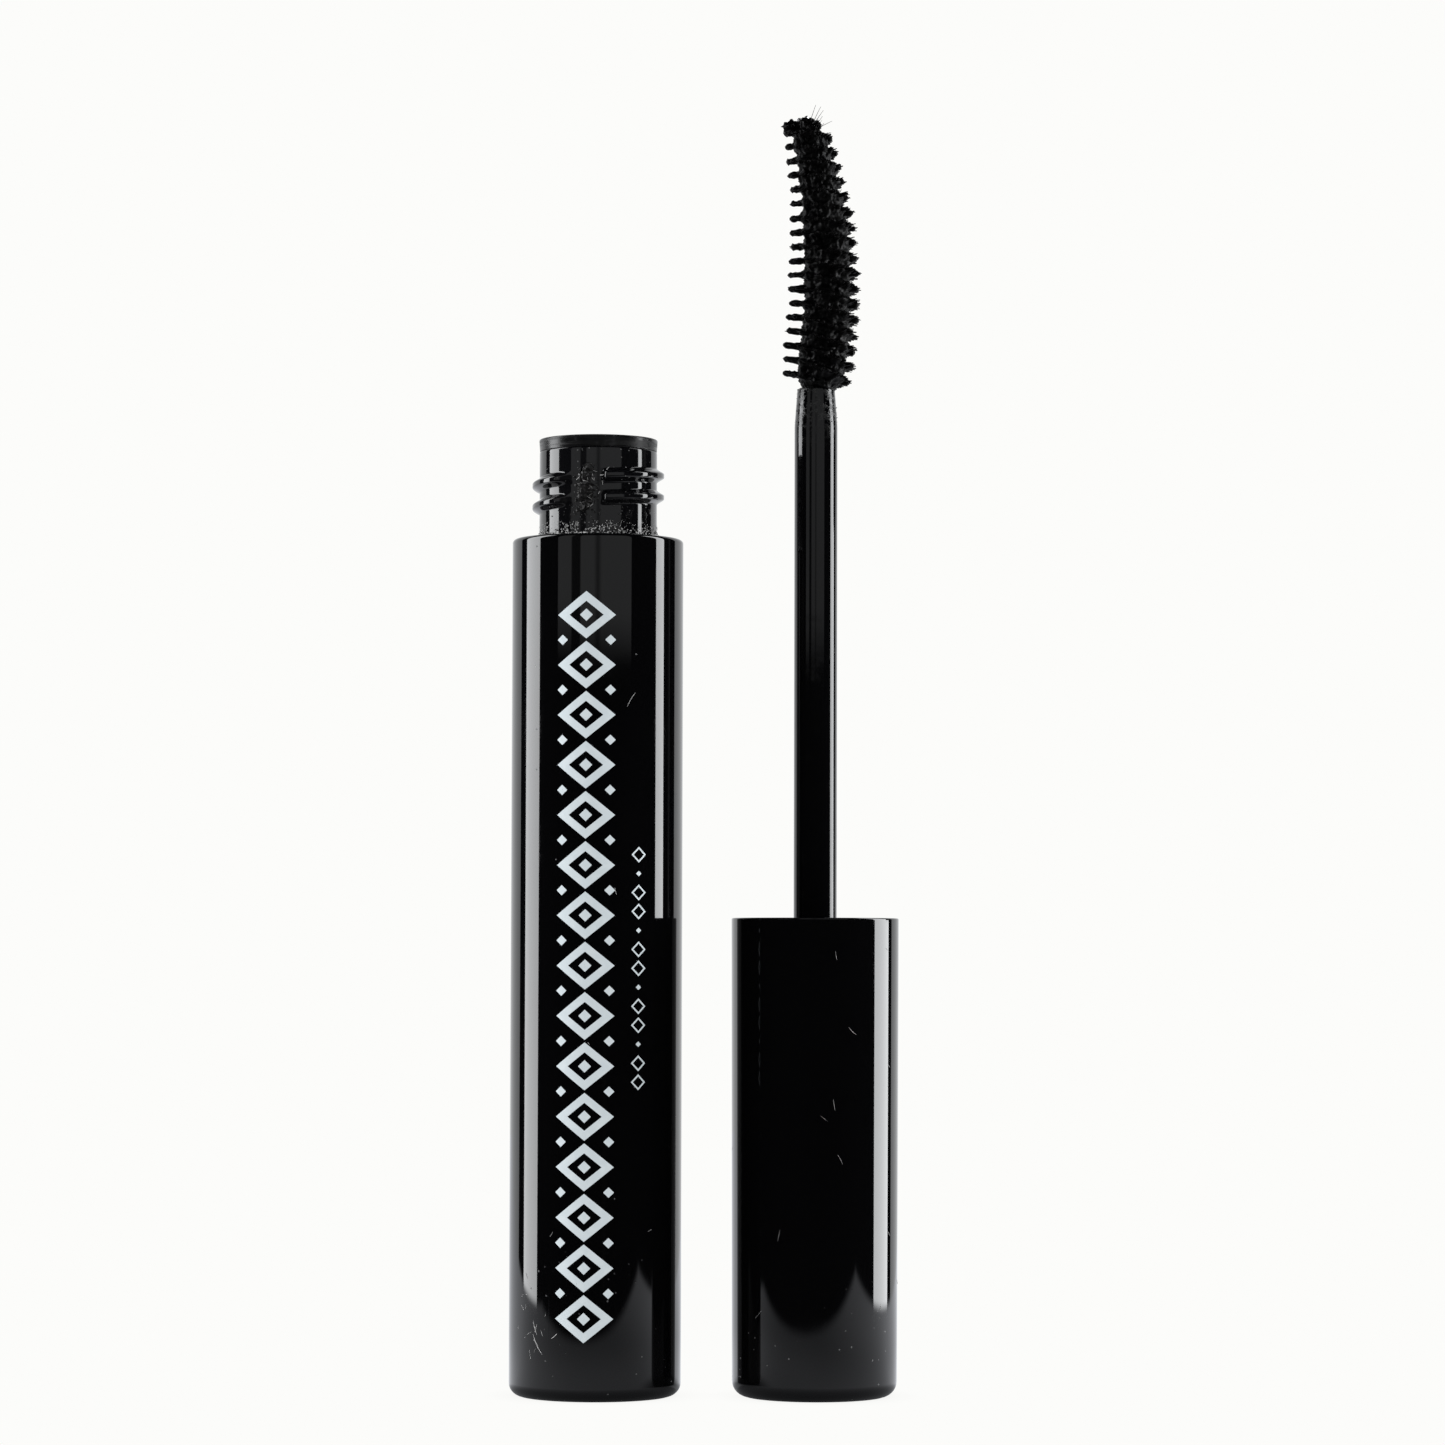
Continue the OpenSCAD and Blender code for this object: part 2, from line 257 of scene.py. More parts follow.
class Tree:
    """The nodes of a material or a world. A value may be a number, a colour or a link."""

    def __init__(self, owner, emptied=True):
        owner.use_nodes = True
        self.tree = owner.node_tree
        if emptied:
            self.tree.nodes.clear()

    def feed(self, socket, value):
        if isinstance(value, bpy.types.NodeSocket):
            self.tree.links.new(value, socket)
        else:
            socket.default_value = value

    def add(self, kind, *values, **named):
        """A node, with values for its first sockets and for the ones named."""
        node = self.tree.nodes.new(kind)
        for socket, value in zip(node.inputs, values):
            self.feed(socket, value)
        for name, value in named.items():
            self.feed(node.inputs[name.replace("_", " ")], value)
        return node

    def out(self, kind, *values, **named):
        return self.add(kind, *values, **named).outputs[0]

    def math(self, operation, first, second=0.0):
        node = self.add("ShaderNodeMath", first, second)
        node.operation = operation
        return node.outputs["Value"]

    def between(self, value, low, high, to_low=0.0, to_high=1.0):
        """value from low..high to to_low..to_high, held at the ends."""
        node = self.add("ShaderNodeMapRange", value, low, high, to_low, to_high)
        node.interpolation_type = "SMOOTHSTEP"
        return node.outputs["Result"]

    def times(self, first, second):
        return self.math("MULTIPLY", first, second)

    def plus(self, first, second):
        return self.math("ADD", first, second)

    def length_of(self, x, y):
        return self.math("SQRT", self.plus(self.times(x, x), self.times(y, y)))

    def ray(self, kind):
        return self.add("ShaderNodeLightPath").outputs[f"Is {kind} Ray"]


class Finish(Tree):
    """A node material that is put together a step at a time round one Principled shader."""

    def __init__(self, name, colour, roughness, **constants):
        self.material = bpy.data.materials.new(name)
        super().__init__(self.material, emptied=False)
        self.shader = self.tree.nodes["Principled BSDF"]
        self.shader.inputs["Base Color"].default_value = (*colour, 1)
        self.shader.inputs["Roughness"].default_value = roughness
        for socket, value in constants.items():
            self.shader.inputs[socket.replace("_", " ")].default_value = value
        self.colour = None
        self.rough = None
        self.height = None
        self.place = self.add("ShaderNodeTexCoord").outputs["Object"]

    def noise(self, scale, detail=3, rough=0.5, stretch=None):
        place = self.place
        if stretch:
            mapping = self.add("ShaderNodeMapping", Vector=place, Scale=stretch)
            place = mapping.outputs["Vector"]
        node = self.add("ShaderNodeTexNoise", Vector=place, Scale=scale, Detail=detail, Roughness=rough)
        return node.outputs["Fac"]

    def patches(self, pattern, low, high, to_low=0.0, to_high=1.0):
        """Soft-edged patches of a noise pattern, where it goes from low to high."""
        return self.between(self.noise(*pattern), low, high, to_low, to_high)

    def specks(self, scale, size, share):
        """Small round specks in a share of the cells of a scattered pattern."""
        cells = self.add("ShaderNodeTexVoronoi", Vector=self.place, Scale=scale)
        dot = self.between(cells.outputs["Distance"], size, size * 0.6)
        chosen = self.add("ShaderNodeSeparateColor", Color=cells.outputs["Color"]).outputs["Red"]
        return self.times(dot, self.math("LESS_THAN", chosen, share))

    def lower_down(self, low, high):
        """1 below the height low, and 0 above the height high, in metres."""
        z = self.add("ShaderNodeSeparateXYZ", Vector=self.place).outputs["Z"]
        return self.between(z, low, high, 1.0, 0.0)

    def tint(self, share, colour):
        """Mixes the colour so far towards another, by a share that varies over the surface."""
        node = self.add("ShaderNodeMix")
        node.data_type = "RGBA"
        self.feed(node.inputs["Factor"], share)
        base = self.colour or self.shader.inputs["Base Color"].default_value[:]
        self.feed(node.inputs[6], base)
        self.feed(node.inputs[7], (*colour, 1))
        self.colour = node.outputs[2]
        return self

    def roughen(self, share, rough):
        """Mixes the roughness so far towards another, by a share that varies over the surface."""
        node = self.add("ShaderNodeMix")
        self.feed(node.inputs[0], share)
        self.feed(node.inputs[2], self.rough or self.shader.inputs["Roughness"].default_value)
        self.feed(node.inputs[3], rough)
        self.rough = node.outputs[0]
        return self

    def relief(self, height, depth):
        """Adds a bump whose full height is depth metres."""
        bump = self.add("ShaderNodeBump", Height=height, Distance=depth)
        if self.height:
            self.feed(bump.inputs["Normal"], self.height)
        self.height = bump.outputs["Normal"]
        return self

    def done(self):
        wired = {"Base Color": self.colour, "Roughness": self.rough, "Normal": self.height}
        for socket, value in wired.items():
            if value:
                self.feed(self.shader.inputs[socket], value)
        return self.material


def gloss_black(name, dust_top):
    """Polished black moulding: faint ripple, smears, hairlines along it, and dust low down."""
    finish = Finish(name, (0.0012, 0.0012, 0.0014), 0.035, IOR=1.5)
    smear = finish.patches((90, 4, 0.6), 0.52, 0.72)
    finish.roughen(smear, 0.075)
    hairline = finish.patches((900, 2, 0.4, (1, 1, 0.012)), 0.70, 0.74)
    finish.roughen(finish.times(hairline, 0.5), 0.25)
    dust_area = finish.times(finish.lower_down(dust_top * 0.4, dust_top),
                             finish.patches((160, 3), 0.42, 0.62))
    dust = finish.times(finish.specks(1500, 0.16, 0.3), dust_area)
    dust = finish.math("MAXIMUM", dust, finish.specks(520, 0.05, 0.10))
    finish.tint(finish.times(dust, 0.55), (0.16, 0.16, 0.165)).roughen(dust, 0.7)
    finish.relief(finish.noise(260, 2), 0.9e-6).relief(dust, 8e-6)
    return finish.done()


def neck_black():
    """The neck's black: less polished, with dried paste smeared thinly over it."""
    finish = Finish("neck_black", (0.0025, 0.0025, 0.003), 0.05, IOR=1.5)
    low_down = finish.lower_down((TUBE_H + 1.5) * MM, (TUBE_H + 5) * MM)
    film = finish.times(finish.patches((700, 5, 0.7), 0.54, 0.68), low_down)
    finish.roughen(film, 0.3).tint(finish.times(film, 0.6), (0.02, 0.019, 0.02))
    dust = finish.times(finish.specks(2600, 0.2, 0.35),
                        finish.patches((500, 3), 0.45, 0.6))
    finish.tint(finish.times(dust, 0.5), (0.22, 0.22, 0.22)).roughen(dust, 0.7)
    finish.relief(finish.noise(600, 2), 1.2e-6).relief(film, 4e-6)
    return finish.done()


def wiper_satin():
    """Soft black polymer with a fine satin grain and turning marks."""
    finish = Finish("wiper_satin", (0.0012, 0.0012, 0.0015), 0.24, Specular_IOR_Level=0.34)
    marks = finish.noise(700, 2, 0.5, (0.25, 0.25, 5))
    finish.roughen(finish.between(marks, 0.4, 0.65), 0.42)
    grain = finish.noise(5200, 2)
    film = finish.patches((800, 4, 0.6), 0.56, 0.7)
    finish.tint(finish.times(film, 0.5), (0.02, 0.02, 0.022))
    finish.relief(grain, 3e-6).relief(marks, 2e-6)
    return finish.done()


def wet_paste():
    """Thick black paste that glistens in small uneven glints."""
    finish = Finish("mascara_paste", (0.0006, 0.0005, 0.0006), 0.3, Specular_IOR_Level=0.1)
    lumps = finish.noise(2600, 4, 0.6)
    finish.roughen(finish.patches((1300, 2), 0.42, 0.62), 0.62)
    finish.tint(finish.between(lumps, 0.55, 0.75), (0.0022, 0.002, 0.002))
    finish.relief(lumps, 55e-6).relief(finish.noise(9000, 2), 7e-6)
    return finish.done()


def coated_nylon():
    """Black filaments under a thin coat of paste."""
    finish = Finish("bristle_nylon", (0.0006, 0.0005, 0.0006), 0.34, Specular_IOR_Level=0.08)
    coat = finish.patches((2200, 3, 0.6), 0.42, 0.62)
    finish.roughen(coat, 0.62).tint(coat, (0.0022, 0.0019, 0.0019))
    finish.relief(finish.noise(7000, 3), 12e-6)
    return finish.done()


def rod_black():
    """Moulded rod: gloss, with a dried grey film near its end."""
    finish = Finish("rod_black", (0.0012, 0.0012, 0.0014), 0.055, Specular_IOR_Level=0.42)
    low, high = (ROD_TIP_Z - 7) * MM, (ROD_TIP_Z - 0.5) * MM
    near_end = finish.math("SUBTRACT", 1.0, finish.lower_down(low, high))
    film = finish.times(finish.patches((1900, 4, 0.7), 0.48, 0.62), near_end)
    finish.tint(finish.times(film, 0.45), (0.025, 0.025, 0.025)).roughen(film, 0.4)
    finish.roughen(finish.patches((500, 3), 0.55, 0.7), 0.12)
    finish.relief(finish.noise(600, 2), 1.2e-6).relief(film, 9e-6)
    return finish.done()


def liner_plastic():
    """Unpolished dark plastic of the inner cap."""
    finish = Finish("inner_cap_plastic", (0.012, 0.012, 0.013), 0.36, IOR=1.49)
    finish.roughen(finish.patches((600, 3), 0.4, 0.65), 0.5)
    finish.tint(finish.patches((350, 4), 0.5, 0.7, 0.0, 0.6), (0.02, 0.02, 0.022))
    finish.relief(finish.noise(4200, 2), 4e-6)
    return finish.done()


def washer_foam():
    """Closed-cell foam, off-white, with its small cells and a smear of paste near the rod."""
    finish = Finish("washer_foam", (0.62, 0.61, 0.57), 0.85)
    cells = finish.add("ShaderNodeTexVoronoi", Vector=finish.place, Scale=6500).outputs["Distance"]
    finish.tint(finish.between(cells, 0.35, 0.75, 0.0, 0.5), (0.42, 0.41, 0.38))
    finish.tint(finish.patches((700, 4), 0.5, 0.62), (0.05, 0.045, 0.045))
    finish.relief(cells, 25e-6)
    return finish.done()


def steel_wire():
    """Drawn steel wire, brushed along its length."""
    finish = Finish("wire_steel", (0.52, 0.52, 0.53), 0.22, Metallic=1.0)
    drawn = finish.noise(9000, 2, 0.5, (1, 1, 0.1))
    finish.roughen(finish.between(drawn, 0.4, 0.65), 0.38)
    finish.tint(finish.patches((2500, 3), 0.5, 0.65), (0.04, 0.035, 0.035))
    finish.relief(drawn, 3e-6)
    return finish.done()


def print_ink():
    """Pale hot-stamped ink with a slight mottle and pinholes at its worn spots."""
    finish = Finish("print_ink", (0.61, 0.68, 0.72), 0.5, IOR=1.45)
    finish.tint(finish.patches((1100, 4, 0.6), 0.42, 0.68, 0.0, 0.5), (0.69, 0.75, 0.78))
    pinholes = finish.times(finish.specks(3800, 0.16, 0.2),
                            finish.patches((350, 3), 0.58, 0.68))
    finish.tint(finish.times(pinholes, 0.7), (0.05, 0.05, 0.055))
    finish.roughen(finish.patches((800, 2), 0.45, 0.6), 0.62)
    finish.relief(finish.noise(5000, 3), 1.5e-6)
    return finish.done()


def pale_lint():
    """Grey-white lint and dust."""
    finish = Finish("pale_lint", (0.62, 0.62, 0.62), 0.8)
    finish.tint(finish.patches((1600, 2), 0.4, 0.7), (0.2, 0.2, 0.205))
    finish.relief(finish.noise(16000, 2), 8e-6)
    return finish.done()


def dry_paste():
    """Dried mascara: flaky, with grey edges."""
    finish = Finish("dry_paste", (0.006, 0.0055, 0.0055), 0.38, IOR=1.5)
    flakes = finish.noise(5200, 4, 0.65)
    finish.tint(finish.between(flakes, 0.56, 0.72, 0.0, 0.8), (0.11, 0.11, 0.115))
    finish.roughen(finish.between(flakes, 0.4, 0.6), 0.65)
    finish.relief(flakes, 35e-6)
    return finish.done()


TUBE_FINISH = gloss_black("tube_gloss_black", 0.016)
CAP_FINISH = gloss_black("cap_gloss_black", 0.012)
NECK_FINISH = neck_black()
WIPER_FINISH = wiper_satin()
PASTE_FINISH = wet_paste()
NYLON_FINISH = coated_nylon()
ROD_FINISH = rod_black()
LINER_FINISH = liner_plastic()
FOAM_FINISH = washer_foam()
STEEL_FINISH = steel_wire()
INK_FINISH = print_ink()
LINT_FINISH = pale_lint()
DRY_FINISH = dry_paste()


# ---------------------------------------------------------------- tube

def build_shell():
    outline = rounded([
        (0, 0.35), (TUBE_R - 3.2, 0.35, 0.5), (TUBE_R - 2.6, 0, 0.3), (TUBE_R, 0, 1.3),
        (TUBE_R, TUBE_H, 0.4), (SHELL_BORE_R, TUBE_H, 0.12), (SHELL_BORE_R, SHELL_FLOOR, 0.3),
        (0, SHELL_FLOOR)])
    add_piece("tube_shell", lathe(outline, TUBE_X, 256), TUBE_FINISH, "tube",
              ["outer_tube"])


def thread_height(angle, z):
    """Height of the neck's thread over the neck. Each length starts blunt and fades out."""
    height = 0.0
    for length in range(THREAD_LENGTHS):
        start = THREAD_FIRST + 180 * length
        run = (math.degrees(angle) - start) % 360
        if run > THREAD_RUN:
            continue
        crest_z = THREAD_START_Z + THREAD_PITCH * (start + run) / 360
        flank = (THREAD_ROOT_W / 2 - abs(z - crest_z)) / ((THREAD_ROOT_W - THREAD_CREST_W) / 2)
        ends = smooth(run / 5) * smooth((THREAD_RUN - run) / 26)
        height = max(height, THREAD_H * smooth(flank) * ends)
    return height


def build_bottle():
    wall_steps = 120
    foot, top = TUBE_H + 0.32, NECK_TOP_Z - 0.2
    outline = rounded([
        (0, SHELL_FLOOR + 0.02), (BOTTLE_R, SHELL_FLOOR + 0.02, 0.6), (BOTTLE_R, TUBE_H - DISC_H),
        (DISC_R, TUBE_H - DISC_H), (DISC_R, TUBE_H - 0.02, 0.15), (NECK_R, TUBE_H - 0.02, 0.3)])
    outline += [(NECK_R, mix(foot, top, i / wall_steps)) for i in range(wall_steps + 1)]
    outline += rounded([
        (NECK_R, NECK_TOP_Z, 0.12), (NECK_BORE_R, NECK_TOP_Z, 0.1), (NECK_BORE_R, TUBE_H + 0.7),
        (BOTTLE_BORE_R, TUBE_H - 3.3), (BOTTLE_BORE_R, BOTTLE_FLOOR_Z, 0.8), (0, BOTTLE_FLOOR_Z)])[1:]

    def with_thread(radius, z, angle):
        on_neck = abs(radius - NECK_R) < 1e-6 and foot <= z <= top
        return radius + (thread_height(angle, z) if on_neck else 0), z

    add_piece("bottle_with_neck", lathe(outline, TUBE_X, 360, with_thread), NECK_FINISH, "tube",
              ["inner_bottle"], sharp=50)


def build_wiper():
    lip_z = TUBE_H - 3
    outline = rounded([
        (WIPER_HOLE_R, lip_z, 0.1), (WIPER_HOLE_R + 0.45, lip_z), (WIPER_R - 0.1, TUBE_H - 1.6),
        (WIPER_R + 0.2, TUBE_H - 1.0, 0.05), (WIPER_R, TUBE_H - 0.9), (WIPER_R, NECK_TOP_Z + 0.015),
        (WIPER_FLANGE_R - 0.08, NECK_TOP_Z + 0.015, 0.07), (WIPER_FLANGE_R, WIPER_TOP_Z, 0.14),
        (WIPER_BORE_R + 0.35, WIPER_TOP_Z, 0.3), (WIPER_BORE_R, WIPER_TOP_Z - 2, 0.5),
        (WIPER_BORE_R, TUBE_H + 0.3, 0.3), (WIPER_HOLE_R, lip_z + 0.45, 0.1)])
    add_piece("wiper_insert", lathe(outline, TUBE_X, 192), WIPER_FINISH, "tube", ["wiper"])


def build_fill():
    """The paste in the bottle: its channel is uneven, as the brush leaves it."""
    channel_r, channel_z = 4.2, PASTE_Z + 1.77
    outline = [(0, PASTE_Z), (PASTE_R - 0.3, PASTE_Z), (PASTE_R, PASTE_Z + 0.3), (PASTE_R, PASTE_TOP_Z - 1),
               (PASTE_R - 0.5, PASTE_TOP_Z - 0.2)]
    wall = 90
    outline += [(channel_r + 1.4 * smooth(1 - i / 6), mix(PASTE_TOP_Z - 0.4, channel_z + 0.3, i / wall))
                for i in range(wall + 1)]
    outline += [(2.6, channel_z), (1.2, channel_z), (0, channel_z)]

    def uneven(radius, z, angle):
        if radius > PASTE_R - 0.6:
            return radius, z
        around = Vector((math.cos(angle), math.sin(angle), z * 0.35))
        return radius + 0.3 * noise.fractal(around * 2.1, 1.0, 2.0, 3), z

    add_piece("mascara_mass", lathe(outline, TUBE_X, 96, uneven), PASTE_FINISH, "tube",
              ["mascara_fill"])


# ---------------------------------------------------------------- print

INK_TOP_R, INK_ROOT_R = TUBE_R + 0.012, TUBE_R - 0.03


def ink_strip(first, second, facing, closed=False):
    """A thin slab of ink between two lines of (across, z) points on the tube's wall. It is cut into
    narrow strips across its width too, so that it follows the wall."""
    widest = max(abs(a[0] - b[0]) for a, b in zip(first, second))
    cuts = max(1, math.ceil(widest / 0.3))
    shares = [i / cuts for i in range(cuts + 1)]
    layers = [(share, INK_TOP_R) for share in shares] + [(share, INK_ROOT_R) for share in reversed(shares)]
    points, faces = [], []
    for share, radius in layers:
        for (u0, z0), (u1, z1) in zip(first, second):
            across = math.degrees(mix(u0, u1, share) / TUBE_R)
            points.append(facing_point(TUBE_X, facing + across, radius, mix(z0, z1, share)))
    n = len(first)
    for i in range(n if closed else n - 1):
        j = (i + 1) % n
        for layer in range(len(layers)):
            a, b = layer * n, (layer + 1) % len(layers) * n
            faces.append((a + i, b + i, b + j, a + j))
    if not closed:
        for k in range(cuts):
            upper, under = k * n, (2 * cuts + 1 - k) * n
            faces.append((upper, under, under - n, upper + n))
            faces.append((upper + n - 1, upper + 2 * n - 1, under - 1, under + n - 1))
    return points, faces


def lozenge_line(half_w, half_h, centre_z, steps=10):
    corners = [(half_w, 0), (0, half_h), (-half_w, 0), (0, -half_h)]
    line = []
    for i, (u, z) in enumerate(corners):
        next_u, next_z = corners[(i + 1) % 4]
        line += [(mix(u, next_u, k / steps), centre_z + mix(z, next_z, k / steps)) for k in range(steps)]
    return line


def lozenge_ring(half_w, half_h, stroke, centre_z, facing):
    """A lozenge outline, of even stroke."""
    slant = math.hypot(half_w, half_h)
    inner_w, inner_h = half_w - stroke * slant / half_h, half_h - stroke * slant / half_w
    return ink_strip(lozenge_line(inner_w, inner_h, centre_z), lozenge_line(half_w, half_h, centre_z),
                     facing, closed=True)


def wedge(tip_u, base_u, half_h, centre_z, facing):
    """A solid wedge that narrows from base_u to tip_u."""
    steps = 8
    lower, upper = [], []
    for i in range(steps + 1):
        share = i / steps
        u = mix(base_u, tip_u, share)
        reach = mix(half_h, 0.03, share)
        lower.append((u, centre_z - reach))
        upper.append((u, centre_z + reach))
    if tip_u > base_u:
        lower, upper = upper, lower
    return ink_strip(lower, upper, facing)


def solid_lozenge(half, centre_z, facing, aside=0.0):
    turned = facing + math.degrees(aside / TUBE_R)
    return merged([wedge(side * half, side * 0.001, half, centre_z, turned) for side in (-1, 1)])


def build_print():
    """A border of lozenge rings and dots up the tube, and a fine row of small ones beside it."""
    band_facing, band_half_w, band_low, band_high, units = -6.0, 2.85, 5.6, 77.7, 15
    unit = (band_high - band_low) / units
    shapes = []
    for i in range(units):
        z = band_low + (i + 0.5) * unit
        shapes.append(lozenge_ring(band_half_w, unit / 2 - 0.12, 0.74, z, band_facing))
        shapes.append(solid_lozenge(0.6, z, band_facing))
        if i:
            for side in (-1, 1):
                shapes.append(solid_lozenge(0.5, z - unit / 2, band_facing, side * (band_half_w - 0.5)))
    add_piece("print_border", merged(shapes), INK_FINISH, "tube")

    row_facing, row_low, row_high, row_units = 30.4, 29.6, 53.2, 13
    step = (row_high - row_low) / row_units
    shapes = []
    for i in range(row_units):
        z = row_low + (i + 0.5) * step
        if i % 3 == 2:
            shapes.append(solid_lozenge(0.26, z, row_facing))
        else:
            shapes.append(lozenge_ring(0.78, step / 2 - 0.14, 0.15, z, row_facing))
    add_piece("print_fine_row", merged(shapes), INK_FINISH, "tube")


# ---------------------------------------------------------------- lint and dried paste

def build_neck_residue():
    """White dust round the neck's root, and dried paste with lint in the thread's front gap."""
    draw = random.Random(11)
    crumbs = []
    for _ in range(1500):
        rise = draw.random() ** 3
        away = mix(0.6, 0.0, min(1, rise * 2)) * draw.random()
        where = facing_point(TUBE_X, draw.uniform(0, 360), NECK_R + away, TUBE_H + 0.03 + 1.4 * rise)
        crumbs.append(lump(where, draw.uniform(0.03, 0.095) * mix(1, 0.4, rise), draw))
    for _ in range(30):
        facing = draw.choice([draw.gauss(-10, 22), draw.uniform(0, 360)])
        crumbs.append(wall_fibre(TUBE_X, NECK_R + 0.02, facing, TUBE_H + draw.uniform(0.2, 1.2),
                                 draw.uniform(0.3, 0.8), draw.uniform(-80, 80), 0.015, draw))
    add_piece("neck_dust", merged(crumbs), LINT_FINISH, "tube")

    flakes = []
    clot = (34, (2.2, 6.8, 4.6), (0.18, 0.4), (-11, 2.2), 0.2, 0.8)
    crust = (150, (1.2, 7.2, 4.2), (0.04, 0.14), (-9, 5.5), 0.4, 0.7)
    for count, heights, sizes, facings, raised, unevenness in (clot, crust):
        for _ in range(count):
            z = TUBE_H + draw.triangular(*heights)
            size = draw.uniform(*sizes)
            where = facing_point(TUBE_X, draw.gauss(*facings), NECK_R + size * raised, z)
            flakes.append(lump(where, size, draw, unevenness))
    for _ in range(60):
        facing = draw.choice([draw.gauss(-22, 12), draw.gauss(26, 9)])
        z = TUBE_H + draw.uniform(0.3, 3.2)
        flakes.append(lump(facing_point(TUBE_X, facing, NECK_R, z), draw.uniform(0.03, 0.09), draw, 0.6))
    add_piece("neck_dried_paste", merged(flakes), DRY_FINISH, "tube")

    threads = []
    for _ in range(34):
        z = TUBE_H + draw.triangular(2.0, 7.0, 4.6)
        threads.append(wall_fibre(TUBE_X, NECK_R + draw.uniform(0.1, 0.4), draw.gauss(-10, 6), z,
                                  draw.uniform(0.15, 0.55), draw.uniform(-75, 75),
                                  draw.uniform(0.010, 0.018), draw))
    threads.append(wall_fibre(TUBE_X, NECK_R + 0.2, 9, TUBE_H + 6.3, 0.8, 38, 0.03, draw))
    threads.append(wall_fibre(TUBE_X, NECK_R + 0.25, 5.5, TUBE_H + 5.8, 0.5, 80, 0.05, draw))
    add_piece("neck_lint", merged(threads), LINT_FINISH, "tube")


def build_wall_lint():
    """Single fibres on the tube's and the cap's walls."""
    draw = random.Random(23)
    long_ones = ((24, 67.2, 1.6, 32, 0.022), (-40, 5.4, 2.2, -32, 0.03), (-42, 7.0, 1.4, -20, 0.028),
                 (-26, 6.3, 0.8, 50, 0.024))
    fibres = [wall_fibre(TUBE_X, TUBE_R, *fibre, draw) for fibre in long_ones]
    for _ in range(26):
        z = draw.choice([draw.uniform(2.5, 12), draw.uniform(10, 80)])
        facing = draw.gauss(-38, 9) if z < 12 else draw.uniform(-180, 180)
        fibres.append(wall_fibre(TUBE_X, TUBE_R, facing, z, draw.uniform(0.25, 0.9),
                                 draw.uniform(-70, 70), draw.uniform(0.010, 0.018), draw))
    add_piece("tube_lint", merged(fibres), LINT_FINISH, "tube")
    fibres = []
    for _ in range(22):
        z = draw.uniform(3, 44)
        wall_r = mix(CAP_END_R, CAP_MOUTH_R, z / CAP_H)
        fibres.append(wall_fibre(CAP_X, wall_r, draw.uniform(-180, 180), z, draw.uniform(0.3, 1.2),
                                 draw.uniform(-70, 70), draw.uniform(0.008, 0.016), draw))
    add_piece("cap_lint", merged(fibres), LINT_FINISH, "applicator")


# ---------------------------------------------------------------- cap

def build_cap():
    outline = rounded([
        (0, 0.3), (CAP_END_R - 3.0, 0.3, 0.5), (CAP_END_R - 2.5, 0, 0.3), (CAP_END_R, 0, 1.5),
        (CAP_MOUTH_R, CAP_H, 0.15), (CAP_BORE_R, CAP_H, 0.15), (CAP_BORE_R, LINER_Z - 0.03),
        (CAP_LEDGE_BORE_R, LINER_Z - 0.03, 0.1), (CAP_LEDGE_BORE_R, CAP_FLOOR, 0.8), (0, CAP_FLOOR)])
    add_piece("cap_shell", lathe(outline, CAP_X, 256), CAP_FINISH, "applicator",
              ["overcap"])


def liner_thread(angle, z):
    """How far the inner cap's thread stands in from its bore."""
    start, turns, root_w = 140, 1.6, 1.3
    start_z = CAP_H - 6.1
    height = 0.0
    for turn in range(3):
        run = (math.degrees(angle) - start) % 360 + 360 * turn
        if run <= 360 * turns:
            crest_z = start_z + THREAD_PITCH * run / 360
            flank = (root_w / 2 - abs(z - crest_z)) / ((root_w - 0.4) / 2)
            ends = smooth(run / 14) * smooth((360 * turns - run) / 14)
            height = max(height, (LINER_BORE_R - LINER_THREAD_R) * smooth(flank) * ends)
    return height


def build_liner():
    """The inner cap: skirt, threaded bore, floor, and the hub that holds the rod."""
    floor_z = LINER_Z + 5
    bore_top, bore_low, steps = LINER_TOP_Z - 0.35, floor_z + 1.3, 110
    hub_z = floor_z - 9
    outline = rounded([(LINER_BORE_R - 0.2, LINER_Z, 0.1), (LINER_R, LINER_Z, 0.1),
                       (LINER_R, LINER_TOP_Z, 0.12), (LINER_BORE_R, LINER_TOP_Z, 0.2)])
    outline += [(LINER_BORE_R, mix(bore_top, bore_low, i / steps)) for i in range(steps + 1)]
    outline += rounded([
        (LINER_BORE_R, floor_z + 1.2), (SOCKET_R, floor_z + 1.2), (SOCKET_R, hub_z),
        (HUB_R, hub_z, 0.3), (HUB_R, floor_z, 0.3), (LINER_BORE_R - 0.2, floor_z, 0.3)])

    def change(radius, z, angle):
        if abs(radius - LINER_BORE_R) < 1e-6 and bore_low <= z <= bore_top:
            return radius - liner_thread(angle, z), z
        return radius, z

    add_piece("cap_liner", lathe(outline, CAP_X, 240, change), LINER_FINISH, "applicator",
              ["inner_cap"], sharp=50)


def build_washer():
    outline = rounded([(ROD_R + 0.08, WASHER_Z, 0.08), (WASHER_R, WASHER_Z, 0.2),
                       (WASHER_R, WASHER_TOP_Z, 0.2), (ROD_R + 0.08, WASHER_TOP_Z, 0.08)])

    def pressed(radius, z, angle):
        """The neck's rim leaves a shallow ring in the foam."""
        dent = 0.08 * math.exp(-((radius - 5.1) / 0.45) ** 2) if z > WASHER_TOP_Z - 0.01 else 0
        return radius, z - dent - 0.012 * abs(noise.noise(Vector((radius, angle * 3, z))))

    inside = [(mix(WASHER_R - 0.3, ROD_R + 0.3, i / 24), WASHER_TOP_Z) for i in range(25)]
    ring = outline[:-10] + inside + outline[-10:]
    add_piece("seal_ring", lathe(ring, CAP_X, 144, pressed), FOAM_FINISH, "seal",
              ["seal_washer"])


# ---------------------------------------------------------------- rod

